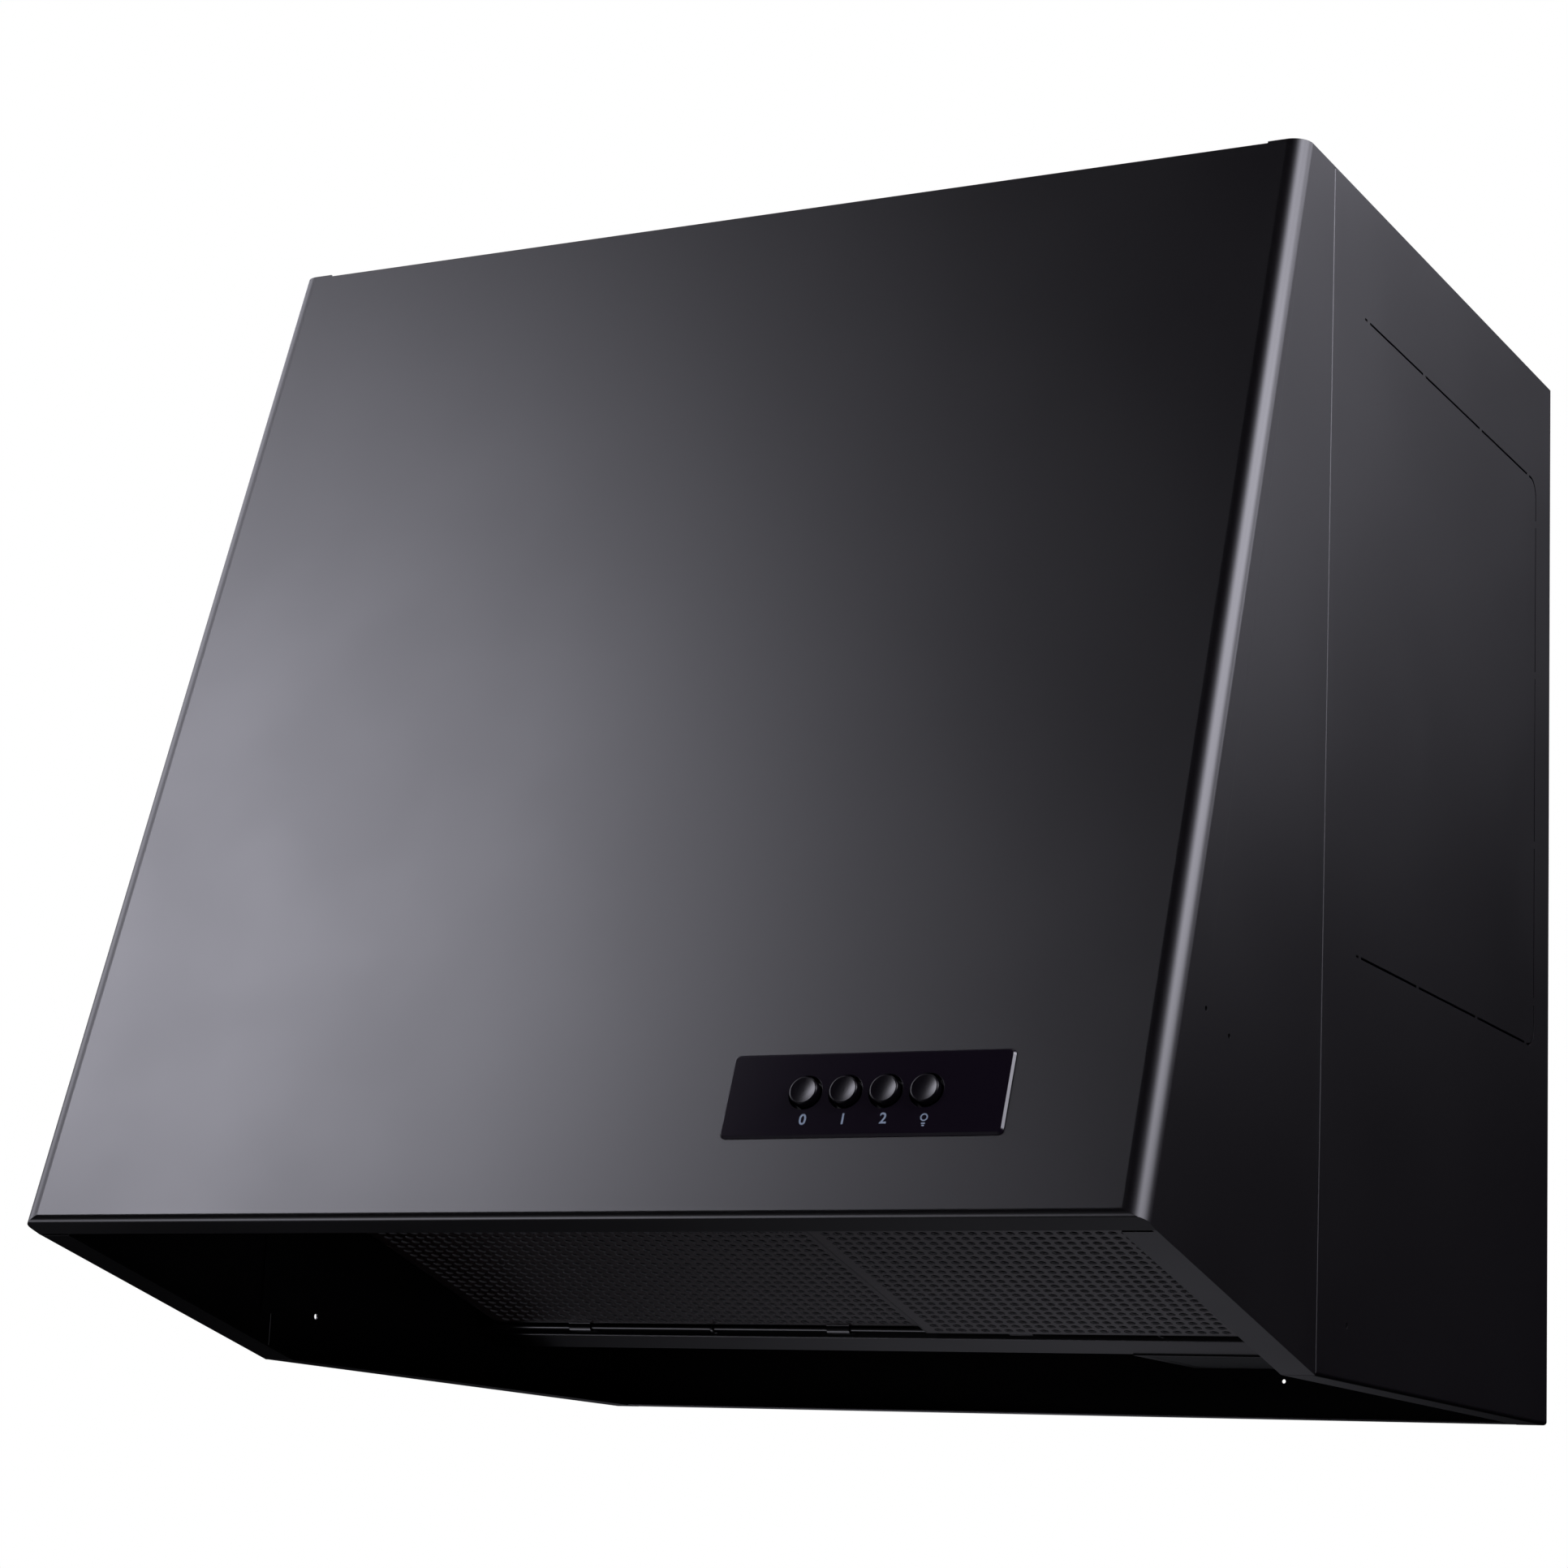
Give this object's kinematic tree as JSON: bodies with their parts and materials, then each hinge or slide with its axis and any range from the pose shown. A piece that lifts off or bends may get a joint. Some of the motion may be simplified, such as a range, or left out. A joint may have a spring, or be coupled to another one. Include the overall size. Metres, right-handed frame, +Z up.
{
  "type": "under-cabinet range hood",
  "caption": "Slanted-front range hood with a centrifugal fan, grease filters that swing down, a lamp, push buttons and a round duct collar with a damper.",
  "frame": {"origin": "on the wall plane, in the middle of the hood's width, at the height of the rear box's bottom", "axes": "+X to the right as seen from the front, +Y to the wall, +Z up"},
  "size_m": [0.6, 0.5992, 0.65],
  "materials": {
    "painted_steel": "satin black enamel",
    "black_screen": "satin black enamel on perforated sheet",
    "galvanised_sheet": "dull zinc",
    "zinc_steel": "bright zinc",
    "gloss_black": "gloss",
    "black_plastic": "matt",
    "black_rubber": "matt",
    "white_plastic": "matt",
    "copper_winding": "laminated core with windings",
    "frosted_glass": "frosted",
    "bulb_glass": "frosted",
    "magnet": "dark ferrite"
  },
  "bodies": {
    "hood": {"back_panel": "painted_steel", "left_side_panel": "painted_steel", "right_side_panel": "painted_steel", "top_panel": "painted_steel", "front_beam": "painted_steel", "front_cover": "painted_steel", "rear_deck": "painted_steel", "front_baffle": "painted_steel", "left_filter_ledge": "painted_steel", "right_filter_ledge": "painted_steel", "centre_filter_rail": "painted_steel", "filter_rod": "painted_steel", "lamp_housing": "painted_steel", "scroll_case": "galvanised_sheet", "orifice_plate": "galvanised_sheet", "duct_collar": "galvanised_sheet", "motor_housing": "zinc_steel", "motor_cap": "zinc_steel", "motor_bearings": "zinc_steel", "damper_pin": "zinc_steel", "button_springs": "zinc_steel", "terminal_box": "zinc_steel", "terminal_lid": "zinc_steel", "capacitor_clip": "zinc_steel", "cover_screws": "zinc_steel", "orifice_screws": "zinc_steel", "collar_screws": "zinc_steel", "motor_screws": "zinc_steel", "switch_plate": "gloss_black", "switch_body": "black_plastic", "capacitor": "black_plastic", "motor_bushes": "black_rubber", "cable_grommet": "black_rubber", "damper_bushes": "white_plastic", "lamp_socket": "white_plastic", "motor_stator": "copper_winding", "lamp_lens": "frosted_glass", "lamp_bulb": "bulb_glass", "filter_magnets": "magnet"},
    "fan_rotor": {"impeller": "galvanised_sheet", "impeller_blades": "galvanised_sheet", "impeller_ring": "galvanised_sheet", "impeller_nut": "white_plastic", "motor_rotor": "zinc_steel", "motor_shaft": "zinc_steel"},
    "damper": {"damper_flap": "galvanised_sheet"},
    "off_push": {"off_button": "gloss_black"},
    "low_push": {"low_button": "gloss_black"},
    "high_push": {"high_button": "gloss_black"},
    "lamp_push": {"lamp_button": "gloss_black"},
    "left_filter_door": {"left_filter": "painted_steel", "left_filter_screen": "black_screen"},
    "right_filter_door": {"right_filter": "painted_steel", "right_filter_screen": "black_screen"}
  },
  "joints": [
    {"name": "fan_spin", "type": "hinge", "parent": "hood", "child": "fan_rotor", "pos_m": [-0.11, -0.089, 0.33], "axis": [0, -1, 0], "continuous": true},
    {"name": "damper_swing", "type": "hinge", "parent": "hood", "child": "damper", "pos_m": [0, -0.101, 0.6275], "axis": [1, 0, 0], "range_deg": [0, 75]},
    {"name": "off_press", "type": "slide", "parent": "hood", "child": "off_push", "axis": [0, 0.9529, -0.3033], "range_m": [0, 0.003], "stiffness_N_per_m": 400, "springref_m": -0.002},
    {"name": "low_press", "type": "slide", "parent": "hood", "child": "low_push", "axis": [0, 0.9529, -0.3033], "range_m": [0, 0.003], "stiffness_N_per_m": 400, "springref_m": -0.002},
    {"name": "high_press", "type": "slide", "parent": "hood", "child": "high_push", "axis": [0, 0.9529, -0.3033], "range_m": [0, 0.003], "stiffness_N_per_m": 400, "springref_m": -0.002},
    {"name": "lamp_press", "type": "slide", "parent": "hood", "child": "lamp_push", "axis": [0, 0.9529, -0.3033], "range_m": [0, 0.003], "stiffness_N_per_m": 400, "springref_m": -0.002},
    {"name": "left_filter_drop", "type": "hinge", "parent": "hood", "child": "left_filter_door", "pos_m": [0, -0.174, 0.036], "axis": [1, 0, 0], "range_deg": [0, 75]},
    {"name": "right_filter_drop", "type": "hinge", "parent": "hood", "child": "right_filter_door", "pos_m": [0, -0.174, 0.036], "axis": [1, 0, 0], "range_deg": [0, 75]}
  ]
}
